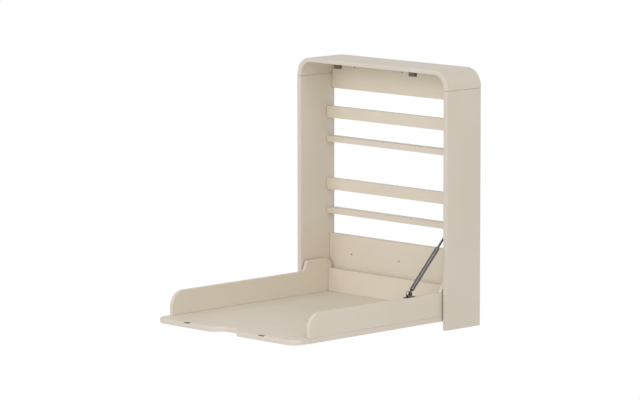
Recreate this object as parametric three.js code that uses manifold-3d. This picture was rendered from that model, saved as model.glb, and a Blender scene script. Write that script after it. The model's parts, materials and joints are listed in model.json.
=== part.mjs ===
// A wall-hung baby changing station: a shallow frame of painted boards with a hood, two storage rails
// and a tray that folds down on two pivots, steadied by one gas strut on its right.
// Millimetres, +Z up. The wall is the plane y = 0 and the front faces -Y; left and right are as seen
// from the front. The origin is the middle of the lower wall rail's back face.
import * as THREE from 'three';
import { mergeVertices } from 'three/addons/utils/BufferGeometryUtils.js';
import Module from 'manifold-3d';

const wasm = await Module();
wasm.setup();

// Frame, with heights taken from the foot of the side panels
const WIDTH = 610; // across the side panels
const HEIGHT = 745; // foot of the side panels to the top of the hood
const DEPTH = 140; // wall to the front edges
const FRAME_BOARD = 16; // thickness of the side panels
const HOOD_BOARD = 13; // thickness of the hood, growing to the panels' at its ends
const HOOD_RADIUS = 52; // outside corner of the hood
const HOOD_LEG = 4; // straight stretch below that corner, down to the seam
const UPPER_RAIL = 11; // thickness of the upper wall rail
const UPPER_RAIL_HEIGHT = 88; // below the hood
const LOWER_RAIL = 22; // thickness of the lower wall rail
const LOWER_RAIL_FOOT = 22;
const LOWER_RAIL_HEIGHT = 188;
const SHELF_FOOT = 272; // underside of the lower shelf strip
const SHELF_PITCH = 214; // lower shelf to upper shelf
const SHELF_BOARD = 16;
const GUARD_GAP = 56; // clear height between a shelf strip and its guard rail
const GUARD_HEIGHT = 34;
const GUARD_BOARD = 16;
const FIXING_HOLE = 5;
const FIXING_PITCH = 195; // between the three wall screws of each rail
const UPPER_FIXING_DROP = 21; // from the hood to the upper row of holes
const LOWER_FIXING_DROP = 55; // from the top of the lower rail to the lower row

// Magnetic catches under the hood
const CATCH_SPACING = 304;
const CATCH_WIDTH = 20;
const CATCH_HEIGHT = 13;
const CATCH_DEPTH = 15;
const MAGNET_WIDTH = 13;
const MAGNET_HEIGHT = 7;
const MAGNET_DEPTH = 8;
const STRIKE_WIDTH = 21;
const STRIKE_DEPTH = 9;
const STRIKE_THICKNESS = 1.5;
const STRIKE_SETBACK = 5; // lip edge to the middle of the strike plate

// Tray, at rest folded down
const TRAY_UNDERSIDE = 25; // above the foot of the side panels
const TRAY_FLOOR = 15; // thickness of the floor board
const TRAY_WALL = 12; // thickness of the tray walls
const TRAY_WALL_HEIGHT = 69; // above the floor
const TRAY_GAP = 4; // between tray and side panel
const TRAY_PROUD = 6; // folded floor in front of the frame's front edges
const LIP_GAP = 3; // folded lip below the hood
const LIP = 58; // floor in front of the tray walls
const LIP_RADIUS = 36; // front corners of the floor
const WALL_RADIUS = 45; // front top corners of the walls
const HUMP_AHEAD = 38; // level top of the wall's hump, ahead of the pivot
const HUMP_RAMP = 23; // length of the curve down from the hump
const HUMP_RADIUS = 30; // rear top corner of the hump
const HUMP_CLEAR = 10; // folded hump in front of the lower rail
const REAR_WALL_CLEAR = 5; // rear wall's swing in front of the lower rail
const NOTCH_FRONT = 108; // finger notch in the lip
const NOTCH_BACK = 52;
const NOTCH_DEPTH = 33;
const NOTCH_RADIUS = 9;

// Pivots and open stop
const PIVOT_RISE = 60; // pivot above the tray's underside
const PIVOT_PIN = 10; // diameter
const PIVOT_IN_WALL = 9; // pin let into the tray wall
const PIVOT_IN_PANEL = 9; // pin let into the bush
const BUSH = 16; // outside diameter
const BUSH_DEPTH = 10;
const SPACER = 20; // outside diameter of the spacer washer
const STOP_PAD = 1.7; // thickness
const STOP_PAD_WIDTH = 40;
const STOP_PAD_MARGIN = 2; // pad inside the floor's rear edge, above and below
const STOP_PAD_INSET = 105; // middle of a pad from the tray's side

// Gas strut
const STRUT_FOOT = 268; // lower eye, out from the wall
const STRUT_FOOT_RISE = 10; // lower eye above the tray wall
const STRUT_LEAN = THREE.MathUtils.degToRad(44.4); // from upright, tray down
const STRUT_RETRACT = 40; // stroke used by the fold
const STRUT_CLEAR = 12.5; // folded strut in front of the storage rails
const TUBE = 13; // outside diameter
const TUBE_BORE = 10.5;
const TUBE_LENGTH = 147;
const TUBE_SETBACK = 18; // lower eye to the end of the tube
const GLAND_DEPTH = 10; // gland inside the tube
const GLAND_RIM = 3; // gland showing above the tube
const ROD = 6;
const PISTON_LENGTH = 10;
const PISTON_TRAVEL_LEFT = 45; // below the gland, rod fully out
const EYE = 15; // outside diameter of both eyes
const EYE_WIDTH = 6;
const SHANK = 6; // neck of the lower eye
const PLUG_DEPTH = 8; // lower eye inside the tube
const SOCKET = 10; // neck of the upper eye
const SOCKET_DEPTH = 16; // rod inside the upper eye
const STRUT_PIN = 5; // diameter of the foot pin and the guide pin
const PIN_HEAD = 8;
const PIN_HEAD_DEPTH = 1.2;
const RIVET_BORE = 3.4; // hollow ends of the foot pin
const RIVET_BORE_DEPTH = 6;
const ROLLER = 9; // nylon roller on the guide pin
const TRACK_DEPTH = 6; // routed into the right side panel
const BRACKET_LENGTH = 41;
const BRACKET_PLATE = 1.5; // thickness
const BRACKET_LUG = 1.8; // thickness
const BRACKET_CORNER = 3; // corners of the plate
const LUG_CORNER = 7.2; // top corners of the lugs, nearly a half round

// Joinery and finish
const DOWEL = 6; // diameter
const DOWEL_IN_RAIL = 20;
const DOWEL_IN_PANEL = 10;
const DOWEL_IN_TRAY_WALL = 8;
const DOWEL_CHAMFER = 1;
const HOOD_DOWEL_INSET = 35; // from the front and back edges
const FIT = 0.3; // gap between pieces that touch
const PLAY = 0.4; // gap round what turns or slides
const END_PLAY = 0.5; // gap at the blind end of a hole
const OVERCUT = 1; // how far a cut runs past the face that it opens
const FRAME_ARRIS = 2; // rounded edges
const RAIL_ARRIS = 1.2;
const TRAY_ARRIS = 2;
const LIP_ARRIS = 3;
const FITTING_ARRIS = 0.8;

// Fineness of the facets
const ARC_STEPS = 6;
const ARRIS_STEPS = 2;
const ROUND_SIDES = 24;
const HOLE_SIDES = 12;
const TRACK_STEPS = 24;
const TRACK_END_STEPS = 6;

// Places that follow from the sizes above
const FOLD = Math.PI / 2;
const innerX = WIDTH / 2 - FRAME_BOARD;
const hoodZ = HEIGHT - HOOD_BOARD;
const seamZ = HEIGHT - HOOD_RADIUS - HOOD_LEG;
const trayX = innerX - TRAY_GAP;
const wallX = trayX - TRAY_WALL;
const floorTop = TRAY_UNDERSIDE + TRAY_FLOOR;
const wallTop = floorTop + TRAY_WALL_HEIGHT;
const lowerRailTop = LOWER_RAIL_FOOT + LOWER_RAIL_HEIGHT;
const upperRailFoot = hoodZ - UPPER_RAIL_HEIGHT;
const pivotZ = TRAY_UNDERSIDE + PIVOT_RISE;
const pivotY = PIVOT_RISE - (DEPTH + TRAY_PROUD);

// The folded lip stops just under the hood, so the tray's reach follows the frame's height.
const lipY = pivotY - (hoodZ - LIP_GAP - pivotZ);
const wallFrontY = lipY + LIP;
const trayRearY = -(LOWER_RAIL + STOP_PAD + 2 * FIT);

// Folding turns a tray height into a distance from the wall.
const foldedY = (z) => pivotY + z - pivotZ;
const humpTop = pivotZ - pivotY - LOWER_RAIL - HUMP_CLEAR;
const humpFrontY = pivotY - HUMP_AHEAD;

// The rear wall stands where its top corner swings clear of the lower rail.
const rearWallSwing = -pivotY - LOWER_RAIL - REAR_WALL_CLEAR;
const rearWallY = pivotY + Math.sqrt(rearWallSwing ** 2 - (wallTop - pivotZ) ** 2);

// The hump's rear corner swings deeper, so the lower rail is relieved up to where it passes.
const humpSwing =
  HUMP_RADIUS + Math.hypot(trayRearY - HUMP_RADIUS - pivotY, humpTop - HUMP_RADIUS - pivotZ);
const reliefTop = pivotZ + Math.sqrt(humpSwing ** 2 - (-pivotY - LOWER_RAIL) ** 2) + TRAY_GAP;

// The strut folds up between the tray wall and the storage rails, its two ends in line.
const strutX = trayX - TRAY_WALL / 2;
const footY = -STRUT_FOOT;
const footZ = wallTop + STRUT_FOOT_RISE;
const strutLength = (foldedY(footZ) - footY) / Math.sin(STRUT_LEAN);
const slatFrontY = foldedY(footZ) + TUBE / 2 + STRUT_CLEAR;
const tubeTop = TUBE_SETBACK + TUBE_LENGTH;

const SIDES = [
  ['left', -1],
  ['right', 1],
];
const LEVELS = [
  ['lower', SHELF_FOOT],
  ['upper', SHELF_FOOT + SHELF_PITCH],
];

const X = new THREE.Vector3(1, 0, 0);
const Y = new THREE.Vector3(0, 1, 0);
const Z = new THREE.Vector3(0, 0, 1);
const SIDE_PLANE = new THREE.Matrix4().makeBasis(Y, Z, X);
const FRONT_PLANE = new THREE.Matrix4().makeBasis(X, Z, Y.clone().negate());

// Joining and cutting
function solidOf(geometry) {
  const bare = geometry.clone();
  bare.deleteAttribute('normal');
  bare.deleteAttribute('uv');
  const merged = mergeVertices(bare);
  const vertProperties = merged.attributes.position.array;
  const triVerts = new Uint32Array(merged.index.array);
  return new wasm.Manifold(new wasm.Mesh({ numProp: 3, vertProperties, triVerts }));
}

function geometryOf(solid) {
  const { vertProperties, triVerts } = solid.getMesh();
  const geometry = new THREE.BufferGeometry();
  geometry.setAttribute('position', new THREE.BufferAttribute(vertProperties, 3));
  geometry.setIndex(new THREE.BufferAttribute(triVerts, 1));
  return geometry;
}

function cut(geometry, ...tools) {
  return geometryOf(tools.reduce((left, tool) => left.subtract(solidOf(tool)), solidOf(geometry)));
}

function join(...geometries) {
  return geometryOf(geometries.map(solidOf).reduce((all, next) => all.add(next)));
}

function trim(geometry, keep) {
  return geometryOf(solidOf(geometry).intersect(solidOf(keep)));
}

// Basic forms
// A closed outline through corners given as [x, y, radius], each rounded by its radius.
function rounded(corners) {
  const outline = new THREE.Shape();
  corners.forEach(([x, y, radius], i) => {
    const corner = new THREE.Vector2(x, y);
    const [beforeX, beforeY] = corners.at(i - 1);
    const [afterX, afterY] = corners[(i + 1) % corners.length];
    const back = new THREE.Vector2(beforeX, beforeY).sub(corner).normalize();
    const on = new THREE.Vector2(afterX, afterY).sub(corner).normalize();
    const half = Math.acos(back.dot(on)) / 2;
    const start = corner.clone().addScaledVector(back, radius / Math.tan(half));
    const end = corner.clone().addScaledVector(on, radius / Math.tan(half));
    if (i === 0) outline.moveTo(start.x, start.y);
    else outline.lineTo(start.x, start.y);
    if (radius === 0) return;
    const middle = back.clone().add(on).normalize();
    const centre = corner.clone().addScaledVector(middle, radius / Math.sin(half));
    const from = start.sub(centre).angle();
    const to = end.sub(centre).angle();
    outline.absarc(centre.x, centre.y, radius, from, to, back.cross(on) > 0);
  });
  return outline;
}

// A board of this outline, lying on its own plane, with its edges rounded by an arris.
function board(outline, thickness, arris) {
  const bevel = {
    bevelThickness: arris,
    bevelSize: arris,
    bevelOffset: -arris,
    bevelSegments: ARRIS_STEPS,
  };
  const options = { depth: thickness - 2 * arris, curveSegments: ARC_STEPS, ...bevel };
  return new THREE.ExtrudeGeometry(outline, options).translate(0, 0, arris);
}

// A board whose outline is in y and z, with its outer face this far from the middle.
function sideBoard(outline, thickness, arris, side, outerX) {
  const nearX = side > 0 ? outerX - thickness : -outerX;
  return board(outline, thickness, arris).applyMatrix4(SIDE_PLANE).translate(nearX, 0, 0);
}

// A board whose outline is in x and z, with its back face at backY.
function frontBoard(outline, thickness, arris, backY) {
  return board(outline, thickness, arris).applyMatrix4(FRONT_PLANE).translate(0, backY, 0);
}

function rectangle(lowX, lowY, highX, highY, radius = 0) {
  return rounded([
    [lowX, lowY, radius],
    [highX, lowY, radius],
    [highX, highY, radius],
    [lowX, highY, radius],
  ]);
}

function block(low, high) {
  const size = new THREE.Vector3().subVectors(high, low);
  const middle = new THREE.Vector3().addVectors(low, high).multiplyScalar(0.5);
  return new THREE.BoxGeometry(size.x, size.y, size.z).translate(middle.x, middle.y, middle.z);
}

function at(x, y, z) {
  return new THREE.Vector3(x, y, z);
}

// Puts a form made along +Y so that it runs from one point towards another.
function aim(geometry, from, to) {
  const along = new THREE.Vector3().subVectors(to, from).normalize();
  const turn = new THREE.Quaternion().setFromUnitVectors(Y, along);
  return geometry.applyQuaternion(turn).translate(from.x, from.y, from.z);
}

function bar(diameter, from, to, sides = ROUND_SIDES) {
  const length = from.distanceTo(to);
  const radius = diameter / 2;
  const form = new THREE.CylinderGeometry(radius, radius, length, sides).translate(0, length / 2, 0);
  return aim(form, from, to);
}

// A turned form from a profile of [radius, height] points, set upright.
function turned(profile, sides = ROUND_SIDES) {
  const points = profile.map(([radius, height]) => new THREE.Vector2(radius, height));
  return new THREE.LatheGeometry(points, sides).rotateX(Math.PI / 2);
}

// A ring between two heights.
function ring(outside, inside, low, high) {
  return turned([
    [inside / 2, low],
    [outside / 2, low],
    [outside / 2, high],
    [inside / 2, high],
    [inside / 2, low],
  ]);
}

function dowel(from, to) {
  const length = from.distanceTo(to);
  const radius = DOWEL / 2;
  const profile = [
    [0, 0],
    [radius - DOWEL_CHAMFER, 0],
    [radius, DOWEL_CHAMFER],
    [radius, length - DOWEL_CHAMFER],
    [radius - DOWEL_CHAMFER, length],
    [0, length],
  ];
  const points = profile.map(([x, y]) => new THREE.Vector2(x, y));
  return aim(new THREE.LatheGeometry(points, HOLE_SIDES), from, to);
}

// The hole for a dowel, deeper than the dowel at both ends.
function dowelHole(from, to) {
  const along = new THREE.Vector3().subVectors(to, from).normalize();
  const start = from.clone().addScaledVector(along, -END_PLAY);
  const end = to.clone().addScaledVector(along, END_PLAY);
  return bar(DOWEL + 2 * FIT, start, end, HOLE_SIDES);
}

// Finishes
function finish(color, roughness, metalness) {
  return new THREE.MeshStandardMaterial({ color, roughness, metalness });
}

const PAINT = finish(0xd4caba, 0.55, 0);
const BEECH = finish(0xc9a878, 0.7, 0);
const STEEL = finish(0xb9b9b6, 0.3, 1);
const TUBE_GREY = finish(0x5f6263, 0.35, 0.8);
const DARK_STEEL = finish(0x4c4a47, 0.45, 0.8);
const NYLON = finish(0xe6e3da, 0.5, 0);
const RUBBER = finish(0x3a3835, 0.85, 0);
const DARK_PLASTIC = finish(0x55524d, 0.6, 0);

function add(group, name, geometry, material) {
  const mesh = new THREE.Mesh(geometry, material);
  mesh.name = name;
  group.add(mesh);
}

// Dowels of the frame: where each rail meets a side panel
const lowerDowelStep = (lowerRailTop - reliefTop) / 3;
const railDowels = [
  { name: 'upper_rail_dowel', y: -UPPER_RAIL / 2, z: (upperRailFoot + seamZ) / 2 },
  { name: 'lower_rail_low_dowel', y: -LOWER_RAIL / 2, z: reliefTop + lowerDowelStep },
  { name: 'lower_rail_high_dowel', y: -LOWER_RAIL / 2, z: lowerRailTop - lowerDowelStep },
];
for (const [level, foot] of LEVELS) {
  const guardFoot = foot + SHELF_BOARD + GUARD_GAP;
  const guardY = slatFrontY + GUARD_BOARD / 2;
  railDowels.push({ name: `${level}_shelf_dowel`, y: slatFrontY / 2, z: foot + SHELF_BOARD / 2 });
  railDowels.push({ name: `${level}_guard_dowel`, y: guardY, z: guardFoot + GUARD_HEIGHT / 2 });
}

function railDowelEnds(side, { y, z }) {
  return [at(side * (innerX - DOWEL_IN_RAIL), y, z), at(side * (innerX + DOWEL_IN_PANEL), y, z)];
}

// Dowels between the hood and the side panels stand upright in the seam.
const hoodDowels = [
  { name: 'front_hood_dowel', y: HOOD_DOWEL_INSET - DEPTH },
  { name: 'rear_hood_dowel', y: -HOOD_DOWEL_INSET },
];

function hoodDowelEnds(side, { y }) {
  const x = side * (innerX + FRAME_BOARD / 2);
  return [at(x, y, seamZ - DOWEL_IN_RAIL), at(x, y, seamZ + DOWEL_IN_PANEL)];
}

const hoodDowelHoles = SIDES.flatMap(([, side]) =>
  hoodDowels.map((peg) => dowelHole(...hoodDowelEnds(side, peg))),
);
const railDowelHoles = SIDES.flatMap(([, side]) =>
  railDowels.map((peg) => dowelHole(...railDowelEnds(side, peg))),
);

// The strut's upper end through the fold, from 0 with the tray down to 1 with it up: the foot turns
// with the tray while the strut swings upright and shortens, both in step with the fold.
function trackPoint(share) {
  const turn = share * FOLD;
  const lean = STRUT_LEAN * (1 - share);
  const length = strutLength - STRUT_RETRACT * share;
  const foot = new THREE.Vector2(footY - pivotY, footZ - pivotZ);
  foot.rotateAround(new THREE.Vector2(), -turn);
  return new THREE.Vector2(
    pivotY + foot.x + length * Math.sin(lean),
    pivotZ + foot.y + length * Math.cos(lean),
  );
}

// The routed track: the roller's path, widened to both sides and rounded at both ends.
function trackOutline() {
  const half = ROLLER / 2 + PLAY;
  const path = Array.from({ length: TRACK_STEPS + 1 }, (_, i) => trackPoint(i / TRACK_STEPS));
  const headings = path.map((_, i) => {
    const before = path[Math.max(i - 1, 0)];
    const after = path[Math.min(i + 1, TRACK_STEPS)];
    return after.clone().sub(before).angle();
  });
  const beside = (i, turn) => {
    const heading = headings[i] + turn;
    return path[i].clone().add(new THREE.Vector2(Math.cos(heading), Math.sin(heading)).setLength(half));
  };
  const steps = path.map((_, i) => i);
  const right = steps.map((i) => beside(i, -Math.PI / 2));
  const left = steps.map((i) => beside(i, Math.PI / 2)).reverse();
  const end = Array.from({ length: TRACK_END_STEPS - 1 }, (_, i) => ((i + 1) * Math.PI) / TRACK_END_STEPS);
  const top = end.map((turn) => beside(TRACK_STEPS, turn - Math.PI / 2));
  const foot = end.map((turn) => beside(0, turn + Math.PI / 2));
  return new THREE.Shape([...right, ...top, ...left, ...foot]);
}

function sidePanel(side) {
  const outline = rectangle(-DEPTH, 0, 0, seamZ - FIT);
  const panel = sideBoard(outline, FRAME_BOARD, FRAME_ARRIS, side, WIDTH / 2);
  const bushEnds = [innerX - FIT, innerX + BUSH_DEPTH + FIT].map((x) => at(side * x, pivotY, pivotZ));
  const tools = [bar(BUSH + 2 * FIT, ...bushEnds), ...railDowelHoles, ...hoodDowelHoles];
  if (side > 0) {
    const track = board(trackOutline(), TRACK_DEPTH + END_PLAY, 0);
    tools.push(track.applyMatrix4(SIDE_PLANE).translate(innerX - END_PLAY, 0, 0));
  }
  return cut(panel, ...tools);
}

// The hood: top board and both rounded corners bent in one, ending at the seams.
function hood() {
  const outerX = WIDTH / 2;
  const innerRadius = HOOD_RADIUS - HOOD_BOARD;
  const outline = rounded([
    [outerX, seamZ, 0],
    [outerX, HEIGHT, HOOD_RADIUS],
    [-outerX, HEIGHT, HOOD_RADIUS],
    [-outerX, seamZ, 0],
    [-innerX, seamZ, 0],
    [-innerX, hoodZ, innerRadius],
    [innerX, hoodZ, innerRadius],
    [innerX, seamZ, 0],
  ]);
  return cut(frontBoard(outline, DEPTH, FRAME_ARRIS, 0), ...hoodDowelHoles);
}

function fixingHoles(z) {
  return [-1, 0, 1].map((column) => {
    const x = column * FIXING_PITCH;
    return bar(FIXING_HOLE, at(x, OVERCUT, z), at(x, -DEPTH, z), HOLE_SIDES);
  });
}

// The upper wall rail fills the corner of the hood.
function upperWallRail() {
  const endX = innerX - FIT;
  const radius = HOOD_RADIUS - HOOD_BOARD - FIT;
  const outline = rounded([
    [-endX, upperRailFoot, 0],
    [endX, upperRailFoot, 0],
    [endX, hoodZ - FIT, radius],
    [-endX, hoodZ - FIT, radius],
  ]);
  const rail = frontBoard(outline, UPPER_RAIL, RAIL_ARRIS, 0);
  return cut(rail, ...railDowelHoles, ...fixingHoles(hoodZ - UPPER_FIXING_DROP));
}

// The lower wall rail carries the station, and its lower corners make way for the tray's humps.
function lowerWallRail() {
  const endX = innerX - FIT;
  const reliefX = wallX - TRAY_GAP;
  const outline = rounded([
    [-reliefX, LOWER_RAIL_FOOT, 0],
    [reliefX, LOWER_RAIL_FOOT, 0],
    [reliefX, reliefTop, 0],
    [endX, reliefTop, 0],
    [endX, lowerRailTop, 0],
    [-endX, lowerRailTop, 0],
    [-endX, reliefTop, 0],
    [-reliefX, reliefTop, 0],
  ]);
  const rail = frontBoard(outline, LOWER_RAIL, RAIL_ARRIS, 0);
  return cut(rail, ...railDowelHoles, ...fixingHoles(lowerRailTop - LOWER_FIXING_DROP));
}

// A strip between the side panels, from its front face back, with its long edges rounded.
function strip(foot, height, depth) {
  const endX = innerX - FIT;
  const outline = rectangle(slatFrontY, foot, slatFrontY + depth, foot + height);
  return cut(sideBoard(outline, 2 * endX, RAIL_ARRIS, 1, endX), ...railDowelHoles);
}

// A magnetic catch: a plastic housing under the hood with a magnet let into its face.
const catchFaceY = foldedY(floorTop) + FIT;
const catchTop = hoodZ - FIT;

function catchHousing(x) {
  const half = CATCH_WIDTH / 2;
  const outline = rectangle(x - half, catchTop - CATCH_HEIGHT, x + half, catchTop);
  const housing = frontBoard(outline, CATCH_DEPTH, FITTING_ARRIS, catchFaceY + CATCH_DEPTH);
  return cut(housing, catchMagnet(x, FIT));
}

function catchMagnet(x, extra = 0) {
  const middleZ = catchTop - CATCH_HEIGHT / 2;
  const halfX = MAGNET_WIDTH / 2 + extra;
  const halfZ = MAGNET_HEIGHT / 2 + extra;
  const low = at(x - halfX, catchFaceY - extra, middleZ - halfZ);
  return block(low, at(x + halfX, catchFaceY + MAGNET_DEPTH + extra, middleZ + halfZ));
}

function stopPad(x) {
  const half = STOP_PAD_WIDTH / 2;
  const low = at(x - half, trayRearY + FIT, TRAY_UNDERSIDE + STOP_PAD_MARGIN);
  return block(low, at(x + half, -LOWER_RAIL - FIT, floorTop - STOP_PAD_MARGIN));
}

// A turned piece on the pivot axis, given along +X from the side panel's inner face.
function onPivot(form, side) {
  const turn = new THREE.Quaternion().setFromUnitVectors(Z, at(side, 0, 0));
  return form.applyQuaternion(turn).translate(side * innerX, pivotY, pivotZ);
}

// Tray floor: round front corners, a finger notch, and an edge that is rounded round the lip only
// and square beside the walls, where the outline runs out past the floor and is trimmed back.
function trayFloor() {
  const halfFront = NOTCH_FRONT / 2;
  const halfBack = NOTCH_BACK / 2;
  const runOut = trayX + 2 * LIP_ARRIS;
  const runOutY = wallFrontY - LIP_ARRIS;
  const outline = rounded([
    [-halfFront, lipY, NOTCH_RADIUS],
    [-halfBack, lipY + NOTCH_DEPTH, NOTCH_RADIUS],
    [halfBack, lipY + NOTCH_DEPTH, NOTCH_RADIUS],
    [halfFront, lipY, NOTCH_RADIUS],
    [trayX, lipY, LIP_RADIUS],
    [trayX, runOutY, 0],
    [runOut, runOutY, 0],
    [runOut, trayRearY, 0],
    [-runOut, trayRearY, 0],
    [-runOut, runOutY, 0],
    [-trayX, runOutY, 0],
    [-trayX, lipY, LIP_RADIUS],
  ]);
  const sheet = board(outline, TRAY_FLOOR, LIP_ARRIS).translate(0, 0, TRAY_UNDERSIDE);
  const low = at(-trayX, lipY - OVERCUT, TRAY_UNDERSIDE - OVERCUT);
  const keep = block(low, at(trayX, 0, floorTop + OVERCUT));
  return cut(trim(sheet, keep), ...SIDES.map(([, side]) => strikePlate(side, FIT)));
}

function strikePlate(side, extra = 0) {
  const x = (side * CATCH_SPACING) / 2;
  const y = lipY + STRIKE_SETBACK;
  const halfX = STRIKE_WIDTH / 2 + extra;
  const halfY = STRIKE_DEPTH / 2 + extra;
  const low = at(x - halfX, y - halfY, floorTop - STRIKE_THICKNESS - extra);
  return block(low, at(x + halfX, y + halfY, floorTop + extra));
}

// Tray side wall: a round front corner, a straight top, and a hump round the pivot.
function traySideWall(side) {
  const wallFoot = floorTop + FIT;
  const cutZ = wallFoot - TRAY_ARRIS;
  const rampY = humpFrontY - HUMP_RAMP / 2;
  const outline = new THREE.Shape()
    .moveTo(trayRearY, cutZ)
    .lineTo(trayRearY, humpTop - HUMP_RADIUS)
    .absarc(trayRearY - HUMP_RADIUS, humpTop - HUMP_RADIUS, HUMP_RADIUS, 0, Math.PI / 2)
    .lineTo(humpFrontY, humpTop)
    .bezierCurveTo(rampY, humpTop, rampY, wallTop, humpFrontY - HUMP_RAMP, wallTop)
    .lineTo(wallFrontY + WALL_RADIUS, wallTop)
    .absarc(wallFrontY + WALL_RADIUS, wallTop - WALL_RADIUS, WALL_RADIUS, Math.PI / 2, Math.PI)
    .lineTo(wallFrontY, cutZ);
  const wall = sideBoard(outline, TRAY_WALL, TRAY_ARRIS, side, trayX);
  const keep = block(at(-WIDTH, lipY, wallFoot), at(WIDTH, 0, HEIGHT));
  const pinEnds = [trayX - PIVOT_IN_WALL - END_PLAY, innerX].map((x) => at(side * x, pivotY, pivotZ));
  const pinHole = bar(PIVOT_PIN + 2 * FIT, ...pinEnds);
  return cut(trim(wall, keep), pinHole, dowelHole(...rearDowelEnds(side)));
}

function rearTrayWall() {
  const endX = wallX - FIT;
  const wallFoot = floorTop + FIT;
  const outline = rectangle(-endX, wallFoot - TRAY_ARRIS, endX, wallTop);
  const wall = frontBoard(outline, TRAY_WALL, TRAY_ARRIS, rearWallY);
  const keep = block(at(-WIDTH, lipY, wallFoot), at(WIDTH, 0, HEIGHT));
  return cut(trim(wall, keep), ...SIDES.map(([, side]) => dowelHole(...rearDowelEnds(side))));
}

function rearDowelEnds(side) {
  const y = rearWallY - TRAY_WALL / 2;
  const z = (floorTop + wallTop) / 2;
  return [at(side * (wallX - DOWEL_IN_RAIL), y, z), at(side * (wallX + DOWEL_IN_TRAY_WALL), y, z)];
}

// The strut's bracket: a thin plate on the wall's top edge and two lugs that hold the foot pin.
function strutBracket() {
  const plateFoot = wallTop + FIT;
  const halfLength = BRACKET_LENGTH / 2;
  const halfWidth = TRAY_WALL / 2;
  const plateOutline = rectangle(
    strutX - halfWidth,
    footY - halfLength,
    strutX + halfWidth,
    footY + halfLength,
    BRACKET_CORNER,
  );
  const plate = board(plateOutline, BRACKET_PLATE, 0).translate(0, 0, plateFoot);
  const lugTop = footZ + EYE / 2;
  const lugOutline = rounded([
    [footY - EYE / 2, plateFoot, 0],
    [footY + EYE / 2, plateFoot, 0],
    [footY + EYE / 2, lugTop, LUG_CORNER],
    [footY - EYE / 2, lugTop, LUG_CORNER],
  ]);
  const lugs = SIDES.map(([, side]) => {
    const nearX = EYE_WIDTH / 2 + PLAY;
    const lowX = strutX + (side > 0 ? nearX : -nearX - BRACKET_LUG);
    return board(lugOutline, BRACKET_LUG, 0).applyMatrix4(SIDE_PLANE).translate(lowX, 0, 0);
  });
  const hole = bar(STRUT_PIN + 2 * FIT, at(wallX - OVERCUT, footY, footZ), at(innerX, footY, footZ));
  return cut(join(plate, ...lugs), hole);
}

// The foot pin: a hollow rivet, headed at both ends outside the lugs.
function strutBracketPin() {
  const reach = EYE_WIDTH / 2 + PLAY + BRACKET_LUG + FIT;
  const end = reach + PIN_HEAD_DEPTH;
  const span = (diameter, from, to) =>
    bar(diameter, at(strutX + from, footY, footZ), at(strutX + to, footY, footZ));
  const pin = join(span(STRUT_PIN, -end, end), span(PIN_HEAD, -end, -reach), span(PIN_HEAD, reach, end));
  const bores = SIDES.map(([, side]) =>
    span(RIVET_BORE, side * (end - RIVET_BORE_DEPTH), side * (end + OVERCUT)),
  );
  return cut(pin, ...bores);
}

// The strut's own pieces stand along +Z from the middle of the lower eye.
function strutLowerEye() {
  const eye = bar(EYE, at(-EYE_WIDTH / 2, 0, 0), at(EYE_WIDTH / 2, 0, 0));
  const neck = bar(SHANK, at(0, 0, STRUT_PIN), at(0, 0, TUBE_SETBACK));
  const collar = bar(TUBE, at(0, 0, TUBE_SETBACK - GLAND_RIM), at(0, 0, TUBE_SETBACK - FIT));
  const plugFoot = TUBE_SETBACK - OVERCUT;
  const plug = bar(TUBE_BORE - 2 * FIT, at(0, 0, plugFoot), at(0, 0, TUBE_SETBACK + PLUG_DEPTH));
  const hole = bar(STRUT_PIN + 2 * PLAY, at(-EYE, 0, 0), at(EYE, 0, 0));
  return cut(join(eye, neck, collar, plug), hole);
}

function strutTube() {
  const outer = TUBE / 2;
  const inner = TUBE_BORE / 2;
  return turned([
    [inner, TUBE_SETBACK],
    [outer - FITTING_ARRIS, TUBE_SETBACK],
    [outer, TUBE_SETBACK + FITTING_ARRIS],
    [outer, tubeTop - FITTING_ARRIS],
    [outer - FITTING_ARRIS, tubeTop],
    [inner, tubeTop],
    [inner, TUBE_SETBACK],
  ]);
}

function strutGland() {
  const hole = ROD / 2 + PLAY;
  const body = TUBE_BORE / 2 - FIT;
  const rim = TUBE / 2 - FITTING_ARRIS;
  return turned([
    [hole, tubeTop - GLAND_DEPTH],
    [body, tubeTop - GLAND_DEPTH],
    [body, tubeTop + FIT],
    [rim, tubeTop + FIT],
    [rim - FITTING_ARRIS, tubeTop + GLAND_RIM],
    [hole, tubeTop + GLAND_RIM],
    [hole, tubeTop - GLAND_DEPTH],
  ]);
}

const pistonTop = tubeTop - GLAND_DEPTH - PISTON_TRAVEL_LEFT;
const pistonFoot = pistonTop - PISTON_LENGTH;
const rodTop = strutLength - EYE / 2 - END_PLAY;

function strutPiston() {
  return ring(TUBE_BORE - 2 * PLAY, ROD + 2 * FIT, pistonFoot, pistonTop);
}

function strutRod() {
  return bar(ROD, at(0, 0, pistonFoot), at(0, 0, rodTop));
}

function strutUpperEye() {
  const eye = bar(EYE, at(-EYE_WIDTH / 2, 0, strutLength), at(EYE_WIDTH / 2, 0, strutLength));
  const socketFoot = rodTop - SOCKET_DEPTH;
  const socket = bar(SOCKET, at(0, 0, socketFoot), at(0, 0, strutLength - PIN_HEAD / 2 - PLAY));
  const rodHole = bar(ROD + 2 * FIT, at(0, 0, socketFoot - OVERCUT), at(0, 0, rodTop + END_PLAY));
  const pinHole = bar(STRUT_PIN + 2 * FIT, at(-EYE, 0, strutLength), at(EYE, 0, strutLength));
  return cut(join(eye, socket), rodHole, pinHole);
}

// The guide pin carries the roller into the track, with its head on the tray side.
const guideEnd = innerX + TRACK_DEPTH - END_PLAY - strutX;

function strutGuidePin() {
  const neckX = -EYE_WIDTH / 2 - FIT;
  const headX = neckX - PIN_HEAD_DEPTH;
  const span = (diameter, from, to) => bar(diameter, at(from, 0, strutLength), at(to, 0, strutLength));
  return join(span(STRUT_PIN, headX, guideEnd), span(PIN_HEAD, headX, neckX));
}

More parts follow.
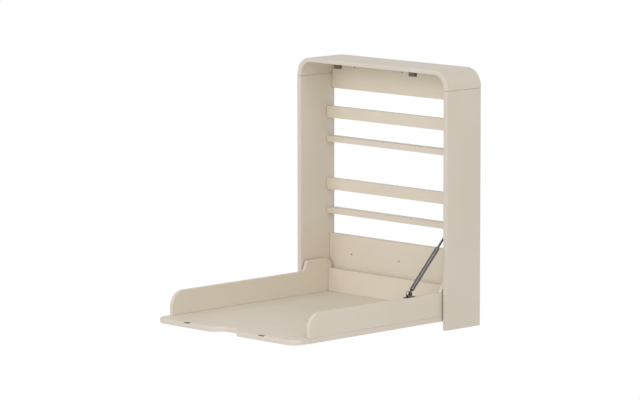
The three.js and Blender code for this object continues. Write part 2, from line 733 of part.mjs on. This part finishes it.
function strutGuideRoller() {
  const low = innerX + END_PLAY - strutX;
  const form = ring(ROLLER, STRUT_PIN + 2 * FIT, low, guideEnd);
  return form.applyQuaternion(new THREE.Quaternion().setFromUnitVectors(Z, X)).translate(0, 0, strutLength);
}

// Assembly
const frame = new THREE.Group();
add(frame, 'hood', hood(), PAINT);
add(frame, 'upper_wall_rail', upperWallRail(), PAINT);
add(frame, 'lower_wall_rail', lowerWallRail(), PAINT);
for (const [level, foot] of LEVELS) {
  const guardFoot = foot + SHELF_BOARD + GUARD_GAP;
  add(frame, `${level}_shelf`, strip(foot, SHELF_BOARD, -slatFrontY), PAINT);
  add(frame, `${level}_guard_rail`, strip(guardFoot, GUARD_HEIGHT, GUARD_BOARD), PAINT);
}

const tray = new THREE.Group();
add(tray, 'tray_floor', trayFloor(), PAINT);
add(tray, 'rear_tray_wall', rearTrayWall(), PAINT);
add(tray, 'strut_bracket', strutBracket(), STEEL);
add(tray, 'strut_bracket_pin', strutBracketPin(), STEEL);

for (const [hand, side] of SIDES) {
  const catchX = (side * CATCH_SPACING) / 2;
  const pinHole = PIVOT_PIN + 2 * FIT;
  const pivotPin = bar(PIVOT_PIN, at(0, 0, -TRAY_GAP - PIVOT_IN_WALL), at(0, 0, PIVOT_IN_PANEL));
  add(frame, `${hand}_side_panel`, sidePanel(side), PAINT);
  add(frame, `${hand}_catch_housing`, catchHousing(catchX), DARK_PLASTIC);
  add(frame, `${hand}_catch_magnet`, catchMagnet(catchX), DARK_STEEL);
  add(frame, `${hand}_stop_pad`, stopPad(side * (trayX - STOP_PAD_INSET)), RUBBER);
  add(frame, `${hand}_pivot_bush`, onPivot(ring(BUSH, pinHole, 0, BUSH_DEPTH), side), NYLON);
  for (const peg of railDowels) {
    add(frame, `${hand}_${peg.name}`, dowel(...railDowelEnds(side, peg)), BEECH);
  }
  for (const peg of hoodDowels) {
    add(frame, `${hand}_${peg.name}`, dowel(...hoodDowelEnds(side, peg)), BEECH);
  }
  add(tray, `${hand}_tray_wall`, traySideWall(side), PAINT);
  add(tray, `${hand}_strike_plate`, strikePlate(side), DARK_STEEL);
  add(tray, `${hand}_pivot_pin`, onPivot(pivotPin, side), STEEL);
  add(tray, `${hand}_pivot_spacer`, onPivot(ring(SPACER, pinHole, FIT - TRAY_GAP, -FIT), side), NYLON);
  add(tray, `${hand}_rear_wall_dowel`, dowel(...rearDowelEnds(side)), BEECH);
}

const strut = new THREE.Group();
strut.position.set(strutX, footY, footZ);
strut.rotation.x = -STRUT_LEAN;
add(strut, 'strut_lower_eye', strutLowerEye(), STEEL);
add(strut, 'strut_tube', strutTube(), TUBE_GREY);
add(strut, 'strut_gland', strutGland(), DARK_PLASTIC);
add(strut, 'strut_piston', strutPiston(), DARK_STEEL);
add(strut, 'strut_rod', strutRod(), DARK_STEEL);
add(strut, 'strut_upper_eye', strutUpperEye(), STEEL);
add(strut, 'strut_guide_pin', strutGuidePin(), STEEL);
add(strut, 'strut_guide_roller', strutGuideRoller(), NYLON);

const station = new THREE.Group();
station.add(frame, tray, strut);
station.position.z = -(LOWER_RAIL_FOOT + LOWER_RAIL_HEIGHT / 2);

const part = new THREE.Group();
part.add(station);

export default part;
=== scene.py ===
import json
import math

import bmesh
import bpy
from mathutils import Matrix, Vector


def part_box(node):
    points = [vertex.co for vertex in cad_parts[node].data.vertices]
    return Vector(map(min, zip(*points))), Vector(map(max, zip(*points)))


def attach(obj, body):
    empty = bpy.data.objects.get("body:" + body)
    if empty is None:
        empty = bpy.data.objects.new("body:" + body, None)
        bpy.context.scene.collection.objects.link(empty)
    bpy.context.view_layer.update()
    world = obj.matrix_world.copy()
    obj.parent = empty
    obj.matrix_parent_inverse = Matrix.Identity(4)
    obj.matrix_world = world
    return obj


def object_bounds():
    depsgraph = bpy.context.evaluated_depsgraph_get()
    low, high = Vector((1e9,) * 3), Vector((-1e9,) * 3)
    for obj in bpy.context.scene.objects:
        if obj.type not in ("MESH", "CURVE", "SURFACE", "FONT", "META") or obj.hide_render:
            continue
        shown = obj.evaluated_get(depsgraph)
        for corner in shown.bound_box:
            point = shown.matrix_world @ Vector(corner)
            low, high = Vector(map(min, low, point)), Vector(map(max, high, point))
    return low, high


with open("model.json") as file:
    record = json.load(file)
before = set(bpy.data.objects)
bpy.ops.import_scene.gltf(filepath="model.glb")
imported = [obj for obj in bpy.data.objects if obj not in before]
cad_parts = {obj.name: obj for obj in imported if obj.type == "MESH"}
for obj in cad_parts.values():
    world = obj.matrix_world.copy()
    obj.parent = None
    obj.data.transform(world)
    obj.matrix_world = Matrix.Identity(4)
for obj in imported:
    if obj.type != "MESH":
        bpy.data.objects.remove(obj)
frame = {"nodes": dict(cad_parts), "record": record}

# The looks of a wall-hung changing station: lacquered boards, a gas strut, catches and screws.
# Metres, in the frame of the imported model: +Z up, the wall at y = 0, the front towards -Y.

CAD_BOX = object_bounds()
NODES = frame["nodes"]

# Photograph and camera
IMAGE_WIDTH_PX = 640
FOCAL_PX = 4024.0
CAMERA_AZIMUTH = math.radians(45.132)
CAMERA_ELEVATION = math.radians(7.81)
CAMERA_ROLL = math.radians(-0.058)
CAMERA_DISTANCE = 11.56
CAMERA_TARGET = Vector((0.0, -0.300, 0.254))
TARGET_RIGHT_PX = 11.676  # where the target lies from the middle of the picture
TARGET_UP_PX = 2.035
SENSOR_WIDTH_MM = 36.0
CAMERA_REACH = 100.0  # nothing beyond this is drawn

# Stage
STAGE_MIDDLE = Vector((0.0, -0.3, 0.25))  # the lamps aim at it, and the floor lies below it
FLOOR_DROP = 0.85  # floor below the foot of the frame, the height it hangs at
FLOOR_RADIUS = 3.0
FLOOR_SIDES = 96
FLOOR_CLEAR = 0.9  # from here to its rim the floor fades into the white background
FLOOR_GLOW = 0.8  # share of that white in the middle of the floor
FLOOR_COLOUR = (0.90, 0.89, 0.87, 1.0)
FLOOR_ROUGHNESS = 0.9
SKY_LEVEL = 0.59  # soft light all round
SKY_COLOUR = (0.965, 0.97, 1.0, 1.0)
LAMP_COLOUR = (1.0, 0.985, 0.955)
LAMPS = (  # name, place, width and height, watts
    ("key", (3.07, -3.48, 1.86), (2.6, 2.4), 40.0),
    ("front", (1.56, -4.58, 1.39), (2.6, 2.4), 31.0),
    ("left", (-1.53, -4.50, 1.70), (2.6, 2.4), 38.0),
    ("right", (3.16, -1.15, 3.63), (1.8, 2.0), 29.0),
)
WHITE = (1.0, 1.0, 1.0, 1.0)

# Screws, as head diameter and how far the head stands proud
FLOOR_SCREW = (0.0085, 0.0009)
FITTING_SCREW = (0.0044, 0.0004)
STRIKE_SCREW = (0.0040, 0.00012)
SCREW_SIDES = 24
SCREW_SINK = 0.0004  # how much further a head reaches below its surface than above it
CROWN_SHARE = 0.86  # flat top, of the head's diameter
RECESS_SHARE = 0.62  # length of the cross recess, of the head's diameter
RECESS_WIDTH_SHARE = 0.16
RECESS_TAPER = 0.8  # floor of the recess, of its mouth
RECESS_DEPTH_SHARE = 0.7  # of what the head reaches below its surface
SCREW_SPIN = 23  # turn of the first recess, in degrees
SCREW_SPIN_STEP = 67  # and of each next one from the one before

# Places of the screws
FLOOR_SCREW_COUNT = 5  # under each side wall
FLOOR_SCREW_INSET = 0.05  # from the ends of that wall
REAR_SCREW_SHARES = (-0.6, 0.0, 0.6)  # under the rear wall, of half the floor's width
CATCH_SCREW_SHIFT = 0.0055  # from the middle to both sides
CATCH_SCREW_SETBACK = 0.0042  # from the back of the housing
STRIKE_SCREW_SHIFT = 0.0066
BRACKET_SCREW_SHIFT = 0.0155
BRACKET_PLATE = 0.0015  # thickness

# Painted shade on the boards' front-facing edges
FRONT_EDGE_PLANE = -0.13  # they lie ahead of this y
FRONT_EDGE_FACING = (-0.5, -0.9)  # y of the normal, from no front edge to all of one
FRONT_EDGE_PAINTED_SHADE = (0.905, 0.92, 0.945, 1.0)

# Painted shade deep inside the narrow gaps between the boards
GAP_DEPTH = 0.012  # how far round a place its neighbours count
GAP_SAMPLES = 16  # rays that look for those neighbours
GAP_OPENNESS = (0.10, 0.42)  # from deep inside a gap to free of it
GAP_PAINTED_SHADE = (0.45, 0.43, 0.40, 1.0)

# Strut's lower eye: a painted highlight round its pin, a painted dark reflection along its neck, plain
# at the collar of the tube
NECK_FOOT = 0.0075  # where the neck leaves the eye, along the strut from the middle of the pin
NECK_PAINTED_DARK_REACH = 0.0085  # dark this far round that foot
COLLAR_START = 0.0148  # from the middle of the pin

# Finishes and shading
OWN_FINISH = {"strut_lower_eye": "eye_steel_painted_reflection"}  # nodes with another finish than their slot's
NOISE_ROUGHNESS = 0.55
SMOOTH_ANGLE = math.radians(32)  # sharper edges stay sharp
WELD_DISTANCE = 1e-5
FACE_WEIGHT = 90  # how much large faces set the normals at their corners


def srgb(red, green, blue):
    """A colour written as 0 to 255 sRGB values, as the linear RGBA that shaders use."""
    def linear(value):
        share = value / 255
        return share / 12.92 if share <= 0.04045 else ((share + 0.055) / 1.055) ** 2.4
    return (linear(red), linear(green), linear(blue), 1.0)


def middle(node):
    """The middle of a CAD node's box."""
    low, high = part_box(node)
    return (low + high) / 2


# Materials
ZINC = (srgb(112, 110, 107), srgb(152, 150, 146))  # darkest and lightest spangle


class Finish:
    """A Principled material with helpers for the noises and masks that drive its looks."""

    def __init__(self, name, metallic=0.0):
        self.material = bpy.data.materials.new(name)
        self.material.use_nodes = True
        self.nodes = self.material.node_tree.nodes
        self.links = self.material.node_tree.links
        self.shader = self.nodes["Principled BSDF"]
        self.shader.inputs["Metallic"].default_value = metallic
        coordinates = self.nodes.new("ShaderNodeTexCoord")
        self.place = coordinates.outputs["Object"]
        self.normal = coordinates.outputs["Normal"]
        self.bumped = None

    def stretched(self, scale):
        """The object coordinates, scaled along each axis."""
        mapping = self.nodes.new("ShaderNodeMapping")
        mapping.inputs["Scale"].default_value = scale
        self.links.new(self.place, mapping.inputs["Vector"])
        return mapping.outputs["Vector"]

    def noise(self, scale, detail=3.0, stretch=None):
        """A noise in the object coordinates, stretched where that is asked for."""
        node = self.nodes.new("ShaderNodeTexNoise")
        node.inputs["Scale"].default_value = scale
        node.inputs["Detail"].default_value = detail
        node.inputs["Roughness"].default_value = NOISE_ROUGHNESS
        vector = self.stretched(stretch) if stretch else self.place
        self.links.new(vector, node.inputs["Vector"])
        return node.outputs["Fac"]

    def ramp(self, factor, low, high, start=0.35, end=0.65):
        """A colour that runs from low to high as the factor runs from start to end."""
        node = self.nodes.new("ShaderNodeValToRGB")
        node.color_ramp.elements[0].position = start
        node.color_ramp.elements[0].color = low
        node.color_ramp.elements[1].position = end
        node.color_ramp.elements[1].color = high
        self.links.new(factor, node.inputs["Fac"])
        return node.outputs["Color"]

    def mix(self, factor, first, second, blend="MIX"):
        """Two colours blended by a share or by a factor's output."""
        node = self.nodes.new("ShaderNodeMix")
        node.data_type = "RGBA"
        node.blend_type = blend
        if isinstance(factor, float):
            node.inputs["Factor"].default_value = factor
        else:
            self.links.new(factor, node.inputs["Factor"])
        self.links.new(first, node.inputs["A"])
        self.links.new(second, node.inputs["B"])
        return node.outputs["Result"]

    def depth(self, vector):
        """The part of a vector that runs from the front to the wall."""
        node = self.nodes.new("ShaderNodeSeparateXYZ")
        self.links.new(vector, node.inputs["Vector"])
        return node.outputs["Y"]

    def front_edges(self):
        """1 on faces ahead of the front plane that look to the front, 0 on all other faces: the mask of
        the painted shade on the front edges.
        """
        ahead = self.nodes.new("ShaderNodeMath")
        ahead.operation = "LESS_THAN"
        ahead.inputs[1].default_value = FRONT_EDGE_PLANE
        self.links.new(self.depth(self.place), ahead.inputs[0])
        facing = self.nodes.new("ShaderNodeMapRange")
        none, full = FRONT_EDGE_FACING
        facing.inputs["From Min"].default_value = none
        facing.inputs["From Max"].default_value = full
        self.links.new(self.depth(self.normal), facing.inputs["Value"])
        self.links.new(ahead.outputs["Value"], facing.inputs["To Max"])
        return facing.outputs["Result"]

    def openness(self):
        """How open a place lies: near 0 deep inside a gap, 1 on a free face."""
        node = self.nodes.new("ShaderNodeAmbientOcclusion")
        node.samples = GAP_SAMPLES
        node.inputs["Distance"].default_value = GAP_DEPTH
        return node.outputs["AO"]

    def beyond(self, centre, reach):
        """1 further than a reach from a centre, 0 nearer to it."""
        away = self.nodes.new("ShaderNodeVectorMath")
        away.operation = "DISTANCE"
        away.inputs[1].default_value = centre
        self.links.new(self.place, away.inputs[0])
        far = self.nodes.new("ShaderNodeMath")
        far.operation = "GREATER_THAN"
        far.inputs[1].default_value = reach
        self.links.new(away.outputs["Value"], far.inputs[0])
        return far.outputs["Value"]

    def colour(self, output):
        """Takes an output as the base colour."""
        self.links.new(output, self.shader.inputs["Base Color"])

    def gloss(self, factor, low, high):
        """Roughness between low and high, driven by a factor."""
        node = self.nodes.new("ShaderNodeMapRange")
        node.inputs["To Min"].default_value = low
        node.inputs["To Max"].default_value = high
        self.links.new(factor, node.inputs["Value"])
        self.links.new(node.outputs["Result"], self.shader.inputs["Roughness"])

    def bump(self, height, distance, strength):
        """Adds a bump to those already there."""
        node = self.nodes.new("ShaderNodeBump")
        node.inputs["Strength"].default_value = strength
        node.inputs["Distance"].default_value = distance
        self.links.new(height, node.inputs["Height"])
        if self.bumped:
            self.links.new(self.bumped, node.inputs["Normal"])
        self.bumped = node.outputs["Normal"]
        self.links.new(self.bumped, self.shader.inputs["Normal"])


def cream_paint():
    """Matte sand-cream lacquer: a faint stipple, a cloudy tone, painted shade on the front edges,
    painted shade in narrow gaps.
    """
    paint = Finish("cream_paint")
    cloud = paint.noise(5.0, detail=4.0)
    tone = paint.ramp(cloud, srgb(217, 207, 191), srgb(221, 212, 197))
    stipple = paint.noise(620.0, detail=2.0)
    speck = paint.ramp(stipple, srgb(214, 204, 187), srgb(222, 213, 198), 0.42, 0.6)
    # Painted shade: faces ahead of the front plane that look to the front are darkened.
    edges = paint.ramp(paint.front_edges(), WHITE, FRONT_EDGE_PAINTED_SHADE, 0.0, 1.0)
    # Painted shade: the paint is darkened deep inside narrow gaps, where ambient occlusion finds little
    # open space.
    painted_gap_shade = paint.ramp(paint.openness(), GAP_PAINTED_SHADE, WHITE, *GAP_OPENNESS)
    coat = paint.mix(1.0, paint.mix(0.25, tone, speck), edges, "MULTIPLY")
    paint.colour(paint.mix(1.0, coat, painted_gap_shade, "MULTIPLY"))
    paint.gloss(paint.noise(38.0), 0.46, 0.58)
    paint.bump(paint.noise(900.0, detail=2.0), 0.0004, 0.10)
    paint.bump(paint.noise(70.0, detail=2.0), 0.0008, 0.05)
    paint.shader.inputs["Specular IOR Level"].default_value = 0.35
    return paint.material


def beech():
    """Bare beech of the hidden dowels, with grain along their length and short dark flecks."""
    wood = Finish("beech")
    grain = wood.noise(90.0, detail=5.0, stretch=(0.2, 1.0, 1.0))
    fleck = wood.noise(420.0, detail=2.0, stretch=(0.15, 1.0, 1.0))
    base = wood.ramp(grain, srgb(196, 160, 112), srgb(219, 187, 142))
    dark = wood.ramp(fleck, srgb(205, 172, 125), srgb(168, 128, 84), 0.55, 0.72)
    wood.colour(wood.mix(0.35, base, dark))
    wood.gloss(grain, 0.6, 0.75)
    wood.bump(grain, 0.0003, 0.2)
    return wood.material


def plated(name):
    """A zinc-plated steel with light rub marks, and the noise of its crystalline mottling."""
    steel = Finish(name, metallic=1.0)
    steel.gloss(steel.noise(180.0), 0.22, 0.40)
    steel.bump(steel.noise(800.0), 0.0002, 0.08)
    return steel, steel.noise(260.0, detail=4.0)


def zinc_steel():
    """Zinc-plated steel of the pivot pins, guide pin, upper eye, catch screws and bracket screws."""
    steel, spangle = plated("zinc_steel")
    steel.colour(steel.ramp(spangle, *ZINC))
    return steel.material


def eye_steel_painted_reflection():
    """Plated lower eye of the strut, with a painted highlight round its pin and a painted dark
    reflection along its neck.
    """
    steel, spangle = plated("eye_steel_painted_reflection")
    pin = middle("strut_bracket_pin")
    along = (middle("strut_tube") - pin).normalized()
    # Painted highlight: a light tone round the pin. Painted dark reflection: a dark tone along the neck
    # and the eye's upper rim.
    eye = steel.ramp(spangle, srgb(178, 176, 172), srgb(214, 212, 207))
    neck = steel.ramp(spangle, srgb(52, 51, 49), srgb(70, 68, 66))
    ends = steel.mix(steel.beyond(pin, COLLAR_START), eye, steel.ramp(spangle, *ZINC))
    steel.colour(steel.mix(steel.beyond(pin + along * NECK_FOOT, NECK_PAINTED_DARK_REACH), neck, ends))
    return steel.material


def rod_steel():
    """Dark nitrided steel of the strut's rod and its foot pin, polished, with fine turning marks."""
    steel = Finish("rod_steel", metallic=1.0)
    marks = steel.noise(300.0, detail=3.0, stretch=(1.0, 6.0, 6.0))
    steel.colour(steel.ramp(marks, srgb(64, 63, 62), srgb(92, 91, 89)))
    steel.gloss(marks, 0.18, 0.30)
    return steel.material


def dark_steel():
    """Satin browned steel of the magnets, strike plates and strut bracket, a little rubbed."""
    steel = Finish("dark_steel", metallic=0.85)
    rub = steel.noise(140.0, detail=4.0)
    steel.colour(steel.ramp(rub, srgb(86, 79, 71), srgb(112, 104, 95)))
    steel.gloss(rub, 0.38, 0.52)
    steel.bump(steel.noise(700.0), 0.0002, 0.1)
    return steel.material


def tube_enamel():
    """Glossy gunmetal enamel of the strut's tube, with a fine grain and soft handling marks."""
    enamel = Finish("tube_enamel", metallic=0.9)
    wipe = enamel.noise(60.0, detail=4.0)
    enamel.colour(enamel.ramp(wipe, srgb(92, 90, 88), srgb(108, 105, 103)))
    enamel.gloss(enamel.noise(240.0), 0.16, 0.24)
    enamel.bump(enamel.noise(1400.0), 0.0002, 0.06)
    return enamel.material


def dark_plastic():
    """Moulded grey-brown plastic with a fine spark-eroded grain."""
    plastic = Finish("dark_plastic")
    plastic.colour(plastic.ramp(plastic.noise(90.0), srgb(98, 93, 86), srgb(114, 108, 100)))
    plastic.gloss(plastic.noise(300.0), 0.48, 0.62)
    plastic.bump(plastic.noise(1600.0), 0.0002, 0.15)
    return plastic.material


def nylon():
    """Off-white nylon, slightly waxy."""
    plastic = Finish("nylon")
    plastic.colour(plastic.ramp(plastic.noise(120.0), srgb(222, 218, 206), srgb(234, 231, 221)))
    plastic.gloss(plastic.noise(260.0), 0.36, 0.5)
    return plastic.material


def rubber():
    """Black rubber of the stop pads, dusty and dull."""
    pad = Finish("rubber")
    dust = pad.noise(160.0, detail=5.0)
    pad.colour(pad.ramp(dust, srgb(38, 37, 35), srgb(62, 60, 57)))
    pad.gloss(dust, 0.72, 0.88)
    pad.bump(pad.noise(1100.0), 0.0003, 0.2)
    return pad.material


MATERIALS = {
    make.__name__: make()
    for make in (
        cream_paint, beech, zinc_steel, eye_steel_painted_reflection, rod_steel, dark_steel, tube_enamel, dark_plastic,
        nylon, rubber,
    )
}


# CAD nodes
def smooth_by_angle():
    """A modifier group that joins the facets' corners and shades them smooth across shallow edges."""
    group = bpy.data.node_groups.new("smooth_by_angle", "GeometryNodeTree")
    group.interface.new_socket("Geometry", in_out="INPUT", socket_type="NodeSocketGeometry")
    group.interface.new_socket("Geometry", in_out="OUTPUT", socket_type="NodeSocketGeometry")
    start = group.nodes.new("NodeGroupInput")
    end = group.nodes.new("NodeGroupOutput")
    weld = group.nodes.new("GeometryNodeMergeByDistance")
    weld.inputs["Distance"].default_value = WELD_DISTANCE
    normal = group.nodes.new("GeometryNodeSetMeshNormal")
    normal.mode = "SHARPNESS"
    normal.inputs["Remove Custom"].default_value = True
    normal.inputs["Face Sharpness"].default_value = False
    angle = group.nodes.new("GeometryNodeInputMeshEdgeAngle")
    sharp = group.nodes.new("FunctionNodeCompare")
    sharp.data_type = "FLOAT"
    sharp.operation = "GREATER_THAN"
    sharp.inputs["B"].default_value = SMOOTH_ANGLE
    group.links.new(angle.outputs["Unsigned Angle"], sharp.inputs["A"])
    group.links.new(sharp.outputs["Result"], normal.inputs["Edge Sharpness"])
    group.links.new(start.outputs["Geometry"], weld.inputs["Geometry"])
    group.links.new(weld.outputs["Geometry"], normal.inputs["Mesh"])
    group.links.new(normal.outputs["Mesh"], end.inputs["Geometry"])
    return group


def dress_nodes():
    """Every CAD node gets its own or its slot's finish, and smooth shading."""
    group = smooth_by_angle()
    for row in frame["record"]["subparts"]:
        node = NODES[row["node"]]
        finish = OWN_FINISH.get(row["node"], row["material_slot"])
        for slot in node.material_slots:
            slot.material = MATERIALS[finish]
        node.modifiers.new("smooth", "NODES").node_group = group
        weigh = node.modifiers.new("weigh", "WEIGHTED_NORMAL")
        weigh.weight = FACE_WEIGHT
        weigh.keep_sharp = True


# Screws
def add_piece(name, mesh, body, slot):
    """A new piece of the object that rides on a body and takes a slot's finish."""
    piece = bpy.data.objects.new(name, mesh)
    bpy.context.scene.collection.objects.link(piece)
    mesh.materials.append(MATERIALS[slot])
    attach(piece, body)


def ring(made, radius, height):
    """A level ring of new corners round the Z axis."""
    turns = [2 * math.pi * i / SCREW_SIDES for i in range(SCREW_SIDES)]
    return [made.verts.new((radius * math.cos(turn), radius * math.sin(turn), height)) for turn in turns]


def around(corners):
    """Each corner with the next one, once round."""
    return zip(corners, corners[1:] + corners[:1])


def screw_head(head, proud):
    """A lens-headed screw along +Z with a cross recess, its rim at z = 0, as a bmesh."""
    made = bmesh.new()
    radius = head / 2
    sink = proud + SCREW_SINK
    arm = head * RECESS_SHARE / 2
    half = head * RECESS_WIDTH_SHARE / 2
    rim = ring(made, radius, 0.0)
    crown = ring(made, radius * CROWN_SHARE, proud)
    foot = ring(made, radius, -sink)
    for low, high in ((foot, rim), (rim, crown)):
        for (a, b), (c, d) in zip(around(low), around(high)):
            made.faces.new((a, b, d, c))
    made.faces.new(list(reversed(foot)))
    cross = [
        (arm, -half), (arm, half), (half, half), (half, arm), (-half, arm), (-half, half),
        (-arm, half), (-arm, -half), (-half, -half), (-half, -arm), (half, -arm), (half, -half),
    ]
    depth = sink * RECESS_DEPTH_SHARE
    mouth = [made.verts.new((x, y, proud)) for x, y in cross]
    floor = [made.verts.new((x * RECESS_TAPER, y * RECESS_TAPER, proud - depth)) for x, y in cross]
    for (a, b), (c, d) in zip(around(mouth), around(floor)):
        made.faces.new((b, a, c, d))
    made.faces.new(floor)
    edges = [made.edges.get(pair) for corners in (crown, mouth) for pair in around(corners)]
    bmesh.ops.triangle_fill(made, use_beauty=True, edges=edges)
    bmesh.ops.recalc_face_normals(made, faces=made.faces)
    return made


def add_screws(name, body, slot, kind, places, facing):
    """One piece holding a screw at each place, all facing one way, each turned a little differently."""
    head, proud = kind
    turn_to = Vector((0, 0, 1)).rotation_difference(Vector(facing)).to_matrix().to_4x4()
    whole = bmesh.new()
    for index, place in enumerate(places):
        one = screw_head(head, proud)
        spin = Matrix.Rotation(math.radians(SCREW_SPIN + SCREW_SPIN_STEP * index), 4, "Z")
        bmesh.ops.transform(one, matrix=Matrix.Translation(place) @ turn_to @ spin, verts=one.verts)
        mesh = bpy.data.meshes.new("screw")
        one.to_mesh(mesh)
        one.free()
        whole.from_mesh(mesh)
        bpy.data.meshes.remove(mesh)
    mesh = bpy.data.meshes.new(name)
    whole.to_mesh(mesh)
    whole.free()
    add_piece(name, mesh, body, slot)


def tray_floor_screws():
    """Screws up through the tray floor into the side walls and the rear wall."""
    low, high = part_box("tray_floor")
    places = []
    for side in ("left", "right"):
        wall_low, wall_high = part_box(f"{side}_tray_wall")
        x = (wall_low.x + wall_high.x) / 2
        run = wall_high.y - wall_low.y - 2 * FLOOR_SCREW_INSET
        for i in range(FLOOR_SCREW_COUNT):
            share = i / (FLOOR_SCREW_COUNT - 1)
            places.append((x, wall_low.y + FLOOR_SCREW_INSET + share * run, low.z))
    rear = middle("rear_tray_wall")
    for share in REAR_SCREW_SHARES:
        places.append((share * high.x, rear.y, low.z))
    add_screws("tray_floor_screws", "tray", "cream_paint", FLOOR_SCREW, places, (0, 0, -1))


def fitting_screws():
    """Small screws in the catches, strike plates and strut bracket."""
    for side in ("left", "right"):
        low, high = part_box(f"{side}_catch_housing")
        x = (low.x + high.x) / 2
        y = high.y - CATCH_SCREW_SETBACK
        places = [(x + shift, y, low.z) for shift in (-CATCH_SCREW_SHIFT, CATCH_SCREW_SHIFT)]
        add_screws(f"{side}_catch_screws", "frame", "zinc_steel", FITTING_SCREW, places, (0, 0, -1))
        low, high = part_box(f"{side}_strike_plate")
        x = (low.x + high.x) / 2
        y = (low.y + high.y) / 2
        places = [(x + shift, y, high.z) for shift in (-STRIKE_SCREW_SHIFT, STRIKE_SCREW_SHIFT)]
        add_screws(f"{side}_strike_screws", "tray", "dark_steel", STRIKE_SCREW, places, (0, 0, 1))
    plate_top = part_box("strut_bracket")[0].z + BRACKET_PLATE
    pin = middle("strut_bracket_pin")
    places = [(pin.x, pin.y + shift, plate_top) for shift in (-BRACKET_SCREW_SHIFT, BRACKET_SCREW_SHIFT)]
    add_screws("strut_bracket_screws", "tray", "zinc_steel", FITTING_SCREW, places, (0, 0, 1))


# Stage, light and camera
def seen_by_camera(nodes, links):
    """1 for rays that show the background: straight from the camera, or by gloss or glass."""
    path = nodes.new("ShaderNodeLightPath")
    total = path.outputs["Is Camera Ray"]
    for name in ("Is Glossy Ray", "Is Transmission Ray"):
        node = nodes.new("ShaderNodeMath")
        node.operation = "MAXIMUM"
        links.new(total, node.inputs[0])
        links.new(path.outputs[name], node.inputs[1])
        total = node.outputs["Value"]
    return total


def make_world():
    """A white background, and a soft light all round."""
    world = bpy.data.worlds.new("studio")
    bpy.context.scene.world = world
    world.use_nodes = True
    nodes = world.node_tree.nodes
    links = world.node_tree.links
    light = nodes["Background"]
    light.inputs["Color"].default_value = SKY_COLOUR
    light.inputs["Strength"].default_value = SKY_LEVEL
    white = nodes.new("ShaderNodeBackground")
    white.inputs["Strength"].default_value = 1.0
    white.inputs["Color"].default_value = WHITE
    mixed = nodes.new("ShaderNodeMixShader")
    links.new(seen_by_camera(nodes, links), mixed.inputs["Fac"])
    links.new(light.outputs["Background"], mixed.inputs[1])
    links.new(white.outputs["Background"], mixed.inputs[2])
    links.new(mixed.outputs["Shader"], nodes["World Output"].inputs["Surface"])


def make_floor():
    """A pale round floor, as far below as the station hangs, that fades into the background."""
    made = bmesh.new()
    bmesh.ops.create_circle(made, cap_ends=True, segments=FLOOR_SIDES, radius=FLOOR_RADIUS)
    mesh = bpy.data.meshes.new("floor")
    made.to_mesh(mesh)
    made.free()
    floor = bpy.data.objects.new("floor", mesh)
    floor.location = (STAGE_MIDDLE.x, STAGE_MIDDLE.y, CAD_BOX[0].z - FLOOR_DROP)
    bpy.context.scene.collection.objects.link(floor)
    material = bpy.data.materials.new("floor")
    material.use_nodes = True
    nodes = material.node_tree.nodes
    links = material.node_tree.links
    shader = nodes["Principled BSDF"]
    shader.inputs["Base Color"].default_value = FLOOR_COLOUR
    shader.inputs["Roughness"].default_value = FLOOR_ROUGHNESS
    glow = nodes.new("ShaderNodeEmission")
    glow.inputs["Strength"].default_value = 1.0
    reach = nodes.new("ShaderNodeVectorMath")
    reach.operation = "LENGTH"
    links.new(nodes.new("ShaderNodeTexCoord").outputs["Object"], reach.inputs[0])
    fade = nodes.new("ShaderNodeMapRange")
    fade.inputs["From Min"].default_value = FLOOR_CLEAR
    fade.inputs["From Max"].default_value = FLOOR_RADIUS
    fade.inputs["To Min"].default_value = FLOOR_GLOW
    links.new(reach.outputs["Value"], fade.inputs["Value"])
    share = nodes.new("ShaderNodeMath")
    share.operation = "MULTIPLY"
    links.new(fade.outputs["Result"], share.inputs[0])
    links.new(seen_by_camera(nodes, links), share.inputs[1])
    mixed = nodes.new("ShaderNodeMixShader")
    links.new(share.outputs["Value"], mixed.inputs["Fac"])
    links.new(shader.outputs["BSDF"], mixed.inputs[1])
    links.new(glow.outputs["Emission"], mixed.inputs[2])
    links.new(mixed.outputs["Shader"], nodes["Material Output"].inputs["Surface"])
    mesh.materials.append(material)


def make_lights():
    """Soft boxes in front and at both sides, all aimed at the middle of the stage."""
    for name, place, size, power in LAMPS:
        data = bpy.data.lights.new(name, "AREA")
        data.shape = "RECTANGLE"
        data.size, data.size_y = size
        data.energy = power
        data.color = LAMP_COLOUR
        lamp = bpy.data.objects.new(name, data)
        lamp.location = place
        lamp.rotation_euler = (STAGE_MIDDLE - Vector(place)).to_track_quat("-Z", "Y").to_euler()
        bpy.context.scene.collection.objects.link(lamp)


def make_camera():
    """The photograph's view: aimed so that the target lands on its own pixel without a lens shift."""
    flat = math.cos(CAMERA_ELEVATION)
    back = Vector((
        math.sin(CAMERA_AZIMUTH) * flat,
        -math.cos(CAMERA_AZIMUTH) * flat,
        math.sin(CAMERA_ELEVATION),
    ))
    place = CAMERA_TARGET + back * CAMERA_DISTANCE
    right = Vector((math.cos(CAMERA_AZIMUTH), math.sin(CAMERA_AZIMUTH), 0))
    up = back.cross(right)
    metres_per_px = CAMERA_DISTANCE / FOCAL_PX
    aim = CAMERA_TARGET - (right * TARGET_RIGHT_PX + up * TARGET_UP_PX) * metres_per_px
    data = bpy.data.cameras.new("camera")
    data.sensor_width = SENSOR_WIDTH_MM
    data.lens = FOCAL_PX / IMAGE_WIDTH_PX * data.sensor_width
    data.clip_end = CAMERA_REACH
    camera = bpy.data.objects.new("camera", data)
    turn = (aim - place).to_track_quat("-Z", "Y").to_matrix().to_4x4()
    camera.matrix_world = Matrix.Translation(place) @ turn @ Matrix.Rotation(CAMERA_ROLL, 4, "Z")
    bpy.context.scene.collection.objects.link(camera)
    bpy.context.scene.camera = camera


make_camera()
dress_nodes()
tray_floor_screws()
fitting_screws()
make_world()
make_floor()
make_lights()
bpy.context.scene.view_settings.view_transform = "Standard"
